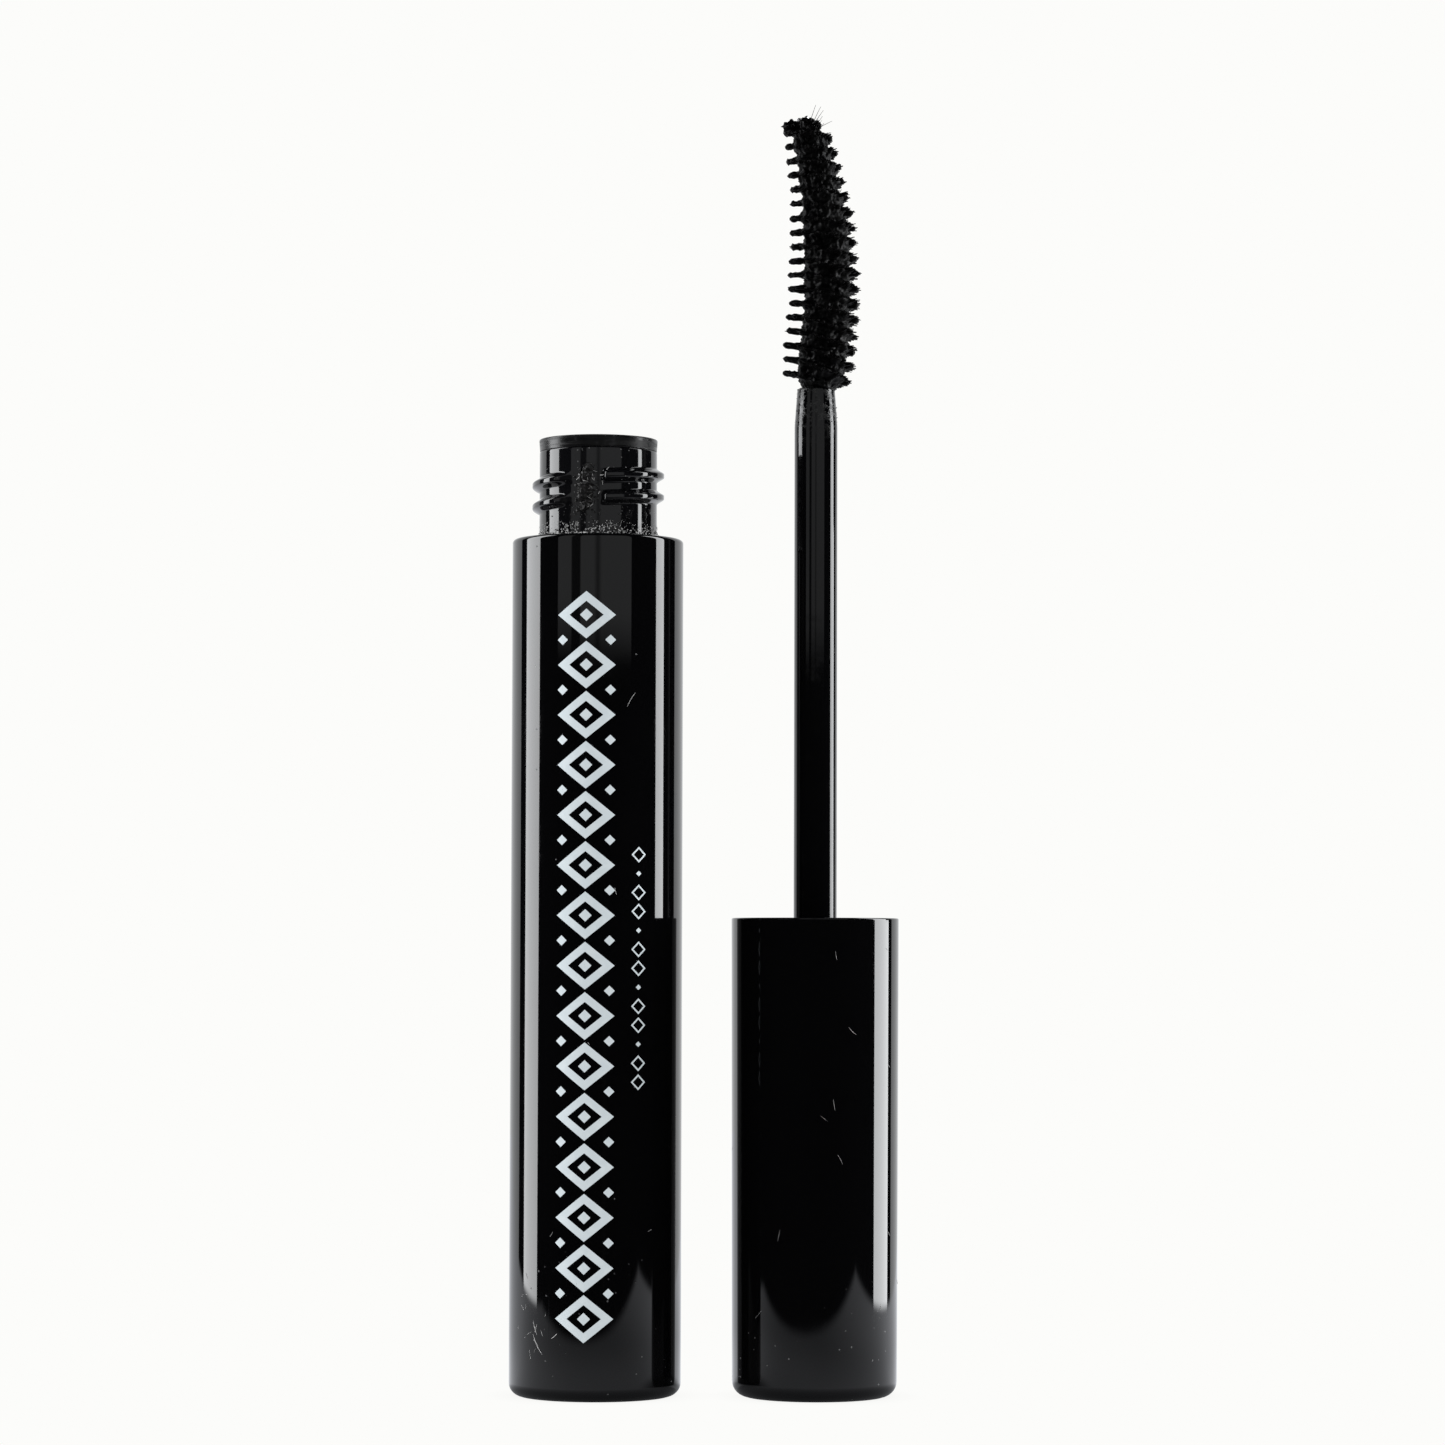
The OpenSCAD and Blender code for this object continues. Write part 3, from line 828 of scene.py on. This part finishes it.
def build_rod():
    hole_r = 0.665
    bead_z, seat_z = LINER_Z, LINER_Z + 6.24
    shank_r = SOCKET_R - 0.03
    outline = rounded([
        (0, ROD_FOOT_Z), (shank_r - 0.05, ROD_FOOT_Z, 0.4), (shank_r, bead_z - 0.3, 0.1),
        (SOCKET_R + 0.13, bead_z, 0.15), (shank_r, bead_z + 0.3, 0.1), (shank_r, seat_z),
        (ROD_R, seat_z, 0.02), (ROD_R, ROD_TIP_Z - ROD_TAPER_H, 6),
        (ROD_END_R, ROD_TIP_Z, 0.35), (hole_r, ROD_TIP_Z, 0.08),
        (hole_r, ROD_TIP_Z - 10), (0, ROD_TIP_Z - 10)])
    add_piece("wand_rod", lathe(outline, CAP_X, 128), ROD_FINISH, "applicator", ["rod"])

    draw = random.Random(31)
    flecks = []
    for _ in range(90):
        depth = draw.random() ** 1.8 * 3.4
        radius = mix(ROD_END_R, ROD_R, smooth(depth / ROD_TAPER_H)) - 0.01
        facing = draw.choice([draw.gauss(-60, 22), draw.gauss(60, 22), draw.uniform(0, 360)])
        flecks.append(lump(facing_point(CAP_X, facing, radius, ROD_TIP_Z - 0.15 - depth),
                           draw.uniform(0.02, 0.075), draw, 0.5))
    add_piece("rod_end_residue", merged(flecks), DRY_FINISH, "applicator")


# ---------------------------------------------------------------- brush

def heading(s):
    return BEND_START - max(s, 0) / BEND_R


def core_point(s):
    """Point of the wire's centre line at distance s from the rod's end."""
    if s < 0:
        return Vector((CAP_X, 0, ROD_TIP_Z + s))
    turn = heading(s)
    return Vector((CAP_X + BEND_R * (math.cos(turn) - math.cos(BEND_START)), 0,
                   ROD_TIP_Z + BEND_R * (math.sin(BEND_START) - math.sin(turn))))


def brush_point(s, angle, radius):
    """Point at an angle and a distance from the wire's centre line; angle 0 is towards +X."""
    turn = heading(s)
    across = Vector((math.cos(angle) * math.cos(turn), math.sin(angle), -math.cos(angle) * math.sin(turn)))
    return core_point(s) + across * radius


def half_length(s):
    """Half of a filament's length at distance s."""
    for (s0, r0), (s1, r1) in zip(BRUSH_OUTLINE, BRUSH_OUTLINE[1:]):
        if s <= s1:
            return mix(r0, r1, clamp((s - s0) / (s1 - s0)))
    return BRUSH_OUTLINE[-1][1]


def row_angle(row_share):
    """Direction of a filament at a share of the way along its row."""
    return math.pi * (0.5 - row_share)


def clump_shares(draw):
    """Places along a row where paste draws the filament tips together."""
    return [(i + 0.5) / CLUMPS + draw.uniform(-0.03, 0.03) for i in range(CLUMPS)]


def arm(row_start, share, tip_share, side, length, thick, curl):
    """One side of a filament, from the wire out to its tip."""
    steps = 6
    path, radii = [], []
    for i in range(steps + 1):
        out = i / steps
        drawn = mix(share, tip_share, smooth(out * 1.25 - 0.1))
        s = row_start + ROW_STEP * drawn + curl * out ** 3
        path.append(brush_point(s, row_angle(drawn) + side, mix(0.5, length, out)))
        radii.append(thick * mix(1.3, 0.8, out))
    return tube(path, radii, 5)


def finger(row_start, share, side, length, thick, draw):
    """The lumpy paste that joins a clump of filaments, blunt at its tip."""
    steps, sides = 10, 9
    shift = draw.uniform(0, 90)
    sway = draw.uniform(-0.08, 0.08)
    path, radii = [], []
    for i in range(steps + 1):
        out = i / steps
        s = row_start + ROW_STEP * share + sway * out
        path.append(brush_point(s, row_angle(share) + side, mix(1.2, length, out)))
        blunt = math.sqrt(clamp((1 - out) * 14)) * 0.6 + 0.4
        lumpy = 1 + 0.4 * noise.noise(Vector((out * 6, shift, 0)))
        radii.append(thick * mix(1.25, 0.95, out ** 0.7) * blunt * lumpy)
    points, faces = tube(path, radii, sides)
    uneven = [p + noise.noise_vector(p * 3.1) * 0.06 for p in points]
    return uneven, faces


def reach_left(s):
    """The filaments on the inner side of the bend stand out a little further low down."""
    return 1 + 0.11 * clamp(1 - s / 16)


def build_bristle_row(row):
    """One half turn of the brush: filaments that cross the wire, drawn into fingers by paste."""
    draw = random.Random(1000 + row)
    row_start = BRUSH_START + row * ROW_STEP
    shapes = []
    for side in (0.0, math.pi):
        left = side > 0
        places = clump_shares(draw)
        longer = reach_left(row_start) if left else 1.0
        if row == BRUSH_ROWS - 1:
            longer = LAST_ROW_REACH["left" if left else "right"]
        reach = [draw.uniform(0.95, 1.03) * longer for _ in places]
        for place, far in zip(places, reach):
            at_edge = abs(place - 0.5) < 0.1
            length = half_length(row_start + ROW_STEP * place) * far
            thick = draw.uniform(0.29, 0.37) if at_edge else draw.uniform(0.16, 0.22)
            shapes.append(finger(row_start, place, side, length * (0.98 if at_edge else 0.94), thick, draw))
            if not left:
                fork = place + draw.choice((-1, 1)) * draw.uniform(0.06, 0.1)
                shapes.append(finger(row_start, fork, side, length * draw.uniform(0.85, 1.0),
                                     draw.uniform(0.13, 0.18), draw))
        for i in range(ARMS):
            share = (i + draw.uniform(0.2, 0.8)) / ARMS
            nearest = min(range(len(places)), key=lambda k: abs(places[k] - share))
            stray = draw.random() < (0.1 if left else 0.35)
            pull = draw.uniform(0.1, 0.6) if stray else draw.uniform(0.75, 0.97)
            tip_share = mix(share, places[nearest], pull) + draw.gauss(0, 0.03)
            length = half_length(row_start + ROW_STEP * share) * reach[nearest]
            length *= draw.uniform(0.9, 1.0 if left else 1.06)
            thick = draw.uniform(0.028, 0.04) if stray else draw.uniform(0.045, 0.07)
            shapes.append(arm(row_start, share, tip_share, side, length, thick, draw.gauss(0, 0.06)))
    number = f"{row + 1:02d}"
    add_piece(f"bristles_{number}", merged(shapes), NYLON_FINISH, "applicator",
              [f"bristle_row_{number}"], sharp=60)


def build_brush_paste():
    """The lumpy body of paste round the wire, with a low web where each row of filaments leaves."""
    sides, step = 132, 0.1
    length = BRUSH_START + BRUSH_ROWS * ROW_STEP
    count = round((length + 0.35) / step)
    points, faces = [], []
    for i in range(count + 1):
        s = -0.05 + step * i
        for k in range(sides):
            angle = 2 * math.pi * k / sides
            slant = 12 + 20 * max(0, math.cos(angle))
            ends = mix(0.8, 1.0, math.sqrt(clamp(i / 6))) * math.sqrt(clamp((count - i) / slant))
            phase = (s - BRUSH_START) / ROW_STEP - (0.5 - angle / math.pi)
            away = ((phase + 0.5) % 1 - 0.5) * ROW_STEP
            web = math.exp(-(away / 0.3) ** 2)
            where = Vector((math.cos(angle) * 2, math.sin(angle) * 2, s))
            lumps = noise.fractal(where * 1.3, 0.8, 2.1, 4)
            side_more = 0.06 * math.cos(angle) + 0.02
            radius = half_length(s) * (0.57 + side_more + 0.15 * web + 0.12 * lumps)
            points.append(brush_point(s, angle, max(0.45, radius) * ends + 0.02))
    for i in range(count):
        for k in range(sides):
            n = (k + 1) % sides
            faces.append((i * sides + k, i * sides + n, (i + 1) * sides + n, (i + 1) * sides + k))
    faces.append(tuple(range(sides - 1, -1, -1)))
    faces.append(tuple(range(count * sides, (count + 1) * sides)))
    add_piece("brush_paste", (points, faces), PASTE_FINISH, "applicator", sharp=180)


def build_brush_tip():
    """Stray filaments and clots at the brush's tip, which leans over to the left."""
    length = BRUSH_START + BRUSH_ROWS * ROW_STEP
    draw = random.Random(77)
    hairs = []
    for _ in range(26):
        angle = draw.gauss(0.35, 0.9)
        s = length - draw.uniform(0.2, 3.0)
        start = brush_point(s, angle, 0.9)
        out = (brush_point(s, angle, 1.9) - brush_point(s, angle, 0.9)).normalized()
        rise = Vector((math.sin(heading(s)), 0, math.cos(heading(s))))
        direction = (out + rise * draw.uniform(0.2, 1.1)).normalized()
        reach = draw.uniform(1.0, 1.9)
        bow = Vector((draw.uniform(-0.25, 0.25), draw.uniform(-0.25, 0.25), draw.uniform(-0.2, 0.2)))
        path = [start + direction * reach * t / 6 + bow * (t / 6) ** 2 for t in range(7)]
        hairs.append(tube(path, [mix(0.035, 0.016, t / 6) for t in range(7)], 5))
    for _ in range(46):
        s = length - draw.uniform(0.2, 2.2)
        angle = draw.uniform(-math.pi, math.pi)
        place = brush_point(s, angle, half_length(s) * draw.uniform(0.3, 0.6))
        hairs.append(lump(place, draw.uniform(0.12, 0.24), draw, 0.5))
    for _ in range(34):
        s = length - draw.uniform(-0.1, 0.9)
        place = brush_point(s, math.pi + draw.gauss(0, 0.5), draw.uniform(0.4, 1.9))
        hairs.append(lump(place, draw.uniform(0.2, 0.34), draw, 0.5))
    add_piece("brush_tip_strays", merged(hairs), NYLON_FINISH, "applicator")


def finish_wire():
    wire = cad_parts["core_wire"]
    wire.data.materials.clear()
    wire.data.materials.append(STEEL_FINISH)


# ---------------------------------------------------------------- stage, light and camera

STAGE_X = (TUBE_X + CAP_X) / 2
PAPER_WHITE = (0.973, 0.973, 0.957, 1)


def stage_object(name, points, faces):
    mesh = bpy.data.meshes.new(name)
    mesh.from_pydata([Vector(point) * MM for point in points], [], faces)
    thing = bpy.data.objects.new(name, mesh)
    bpy.context.scene.collection.objects.link(thing)
    return thing


# Edges of the table top that reflections see: distance to the origin in millimetres, and slopes
# along X and Y. The front edge bows between two places along X.
TABLE_FRONT, TABLE_LEFT, TABLE_RIGHT = (78.0, 0.291, 1.0), (134.0, 1.0, 0.35), (140.0, -1.0, -0.264)
TABLE_BOW, TABLE_BOW_LEFT, TABLE_BOW_RIGHT = -0.00085, 89.0, 21.0
TABLE_EDGE_BLUR = 10
# Painted light: levels of the table's glow in reflections, brighter behind, to the right and near the tube.
TABLE_LEVEL, TABLE_BACK_LEVEL, TABLE_RIGHT_LEVEL, TABLE_TUBE_LEVEL = 0.3, 0.5, 0.35, 0.16
TABLE_COLOUR = (0.93, 0.95, 1.0, 1)
SOFTBOX_COLOUR = (0.97, 0.985, 1.0, 1)
# Reach of the painted contact shadow on the white floor, in metres.
PAINTED_SHADE_REACH = 0.004


def build_floor():
    """A pale floor that is white to the camera, with a painted contact shadow round the object. In
    reflections it is a table top that ends a little
    way in front of the object: its glow there is painted light, brighter towards the softboxes, with a
    painted contact shadow round the tube and the cap."""
    reach = 6000
    floor = stage_object("floor", [(-reach, -reach, 0), (reach, -reach, 0), (reach, reach, 0),
                                   (-reach, reach, 0)], [(0, 1, 2, 3)])
    material = bpy.data.materials.new("floor_paper")
    tree = Tree(material)
    place = tree.add("ShaderNodeTexCoord").outputs["Object"]
    split = tree.add("ShaderNodeSeparateXYZ", place)
    number, ramp = tree.math, tree.between
    times, plus = tree.times, tree.plus
    wide = number("DIVIDE", split.outputs["X"], MM)
    deep = number("DIVIDE", split.outputs["Y"], MM)

    def inside(at_origin, per_x, per_y):
        slopes = plus(times(wide, per_x), times(deep, per_y))
        return plus(at_origin, slopes)

    bow = times(plus(wide, TABLE_BOW_LEFT), number("SUBTRACT", wide, TABLE_BOW_RIGHT))
    from_front = plus(inside(*TABLE_FRONT), times(bow, TABLE_BOW))
    from_sides = number("MINIMUM", inside(*TABLE_LEFT), inside(*TABLE_RIGHT))
    on_table = ramp(number("MINIMUM", from_front, from_sides), -TABLE_EDGE_BLUR, TABLE_EDGE_BLUR)

    distance = number("MAXIMUM", tree.length_of(number("SUBTRACT", wide, STAGE_X), deep), 1.0)
    behind = number("MINIMUM", plus(1.0, number("DIVIDE", deep, distance)), 1.3)
    behind = number("POWER", number("MAXIMUM", behind, 0.0), 1.6)
    level = plus(TABLE_LEVEL, times(TABLE_BACK_LEVEL, behind))
    for gain, where in ((TABLE_RIGHT_LEVEL, ramp(wide, 20, 140)),
                        (TABLE_TUBE_LEVEL, ramp(tree.length_of(wide, deep), 80, 28))):
        level = plus(level, times(gain, where))
    # Painted contact shadow: the table's glow in reflections fades out round the feet of the tube and the
    # cap.
    for axis_x, radius in ((TUBE_X, TUBE_R), (CAP_X, CAP_END_R)):
        away = tree.length_of(number("SUBTRACT", wide, axis_x), deep)
        level = times(level, ramp(away, radius - 4, radius + 8))
    glow = tree.out("ShaderNodeEmission", TABLE_COLOUR, level)
    table = tree.out("ShaderNodeMixShader", on_table, tree.out("ShaderNodeBsdfTransparent"), glow)

    # Painted contact shadow: the white floor's glow darkens by ambient occlusion round the object's feet.
    painted_shade_occlusion = tree.add("ShaderNodeAmbientOcclusion", Distance=PAINTED_SHADE_REACH).outputs["AO"]
    painted_contact_shade = tree.out("ShaderNodeMapRange", painted_shade_occlusion, 0.0, 0.9, 0.93, 1.0)
    paper = tree.out("ShaderNodeEmission", PAPER_WHITE, painted_contact_shade)
    surface = tree.out("ShaderNodeMixShader", tree.ray("Glossy"), paper, table)
    tree.add("ShaderNodeOutputMaterial", surface)
    floor.data.materials.append(material)


def softbox(name, azimuths, heights, radius, glow, brightness, seen_by_matt=True, columns=24, rows=16):
    """A curved light panel that only reflections and soft light see. azimuths are facing angles,
    and brightness(across, up) is its pattern, from 0 to 1 each way."""
    points, faces, levels = [], [], []
    for j in range(rows + 1):
        for i in range(columns + 1):
            across, up = i / columns, j / rows
            points.append(facing_point(STAGE_X, mix(*azimuths, across), radius, mix(*heights, up)))
            levels.append(brightness(across, up))
    for j in range(rows):
        for i in range(columns):
            a = j * (columns + 1) + i
            faces.append((a, a + 1, a + columns + 2, a + columns + 1))
    panel = stage_object(name, points, faces)
    level = panel.data.attributes.new("level", "FLOAT", "POINT")
    level.data.foreach_set("value", levels)
    material = bpy.data.materials.new(name)
    tree = Tree(material)
    pattern = tree.add("ShaderNodeAttribute")
    pattern.attribute_name = "level"
    strength = tree.math("MULTIPLY", pattern.outputs["Fac"], glow)
    tree.add("ShaderNodeOutputMaterial", tree.out("ShaderNodeEmission", SOFTBOX_COLOUR, strength))
    panel.data.materials.append(material)
    panel.visible_camera = False
    panel.visible_shadow = False
    panel.visible_transmission = False
    panel.visible_diffuse = seen_by_matt


def card_level(across, up):
    """Brightness of the card in front: a dark gap on the left, and a dip near the middle."""
    gap = 0.1 if 0.19 < across < 0.32 else 1.0
    dip = mix(0.4, 1.0, smooth(abs(across - 0.54) / 0.06))
    return smooth(up / 0.02) * gap * dip


def build_light():
    right = (260, 10, lambda across, up: mix(0.88, 0.95, across))
    softbox("softbox_left", (-107.5, -82), (-60, 420), 260, 7.6,
            lambda across, up: mix(0.98, 1.0, across) * smooth(up / 0.03))
    softbox("softbox_right", (85.5, 111), (47, 107), *right)
    softbox("softbox_right_top", (85.5, 107), (107, 420), *right)
    softbox("softbox_right_low", (88, 118), (-60, 47), 260, 10,
            lambda across, up: mix(0.92, 0.80, across) * smooth(up / 0.1))
    softbox("backdrop", (129, 238), (-150, 600), 620, 1.0, lambda across, up: 1.0, False)
    softbox("front_card", (-54, 46), (98, 520), 450, 0.42, card_level, False, 50, 86)


def build_world():
    """White to the camera, dark to reflections, and soft grey light for everything else."""
    world = bpy.data.worlds.new("studio")
    bpy.context.scene.world = world
    tree = Tree(world)
    colours = ((0.8, 0.8, 0.8, 1), (0.004, 0.004, 0.005, 1), PAPER_WHITE)
    soft, dark, seen = (tree.out("ShaderNodeBackground", colour) for colour in colours)
    unseen = tree.out("ShaderNodeMixShader", tree.ray("Glossy"), soft, dark)
    tree.add("ShaderNodeOutputWorld",
             tree.out("ShaderNodeMixShader", tree.ray("Camera"), unseen, seen))
    bpy.context.scene.view_settings.view_transform = "Standard"


# Place in metres, and angles in degrees
CAMERA_PLACE, CAMERA_UP, CAMERA_ROLL = (0.01222, -0.450, 0.0435), 2.782, 0.158


def build_camera():
    data = bpy.data.cameras.new("camera")
    data.sensor_width = 36
    data.lens = 114.9
    data.clip_start = 0.01
    data.clip_end = 20
    camera = bpy.data.objects.new("camera", data)
    bpy.context.scene.collection.objects.link(camera)
    place = Matrix.Translation(CAMERA_PLACE)
    pitch = Matrix.Rotation(math.radians(90 + CAMERA_UP), 4, "X")
    roll = Matrix.Rotation(math.radians(CAMERA_ROLL), 4, "Z")
    camera.matrix_world = place @ pitch @ roll
    bpy.context.scene.camera = camera


for build in (build_camera, build_shell, build_bottle, build_wiper, build_fill, build_print,
              build_neck_residue, build_wall_lint, build_cap, build_liner, build_washer, build_rod):
    build()
for row in range(BRUSH_ROWS):
    build_bristle_row(row)
for build in (build_brush_paste, build_brush_tip, finish_wire, build_floor, build_light, build_world):
    build()
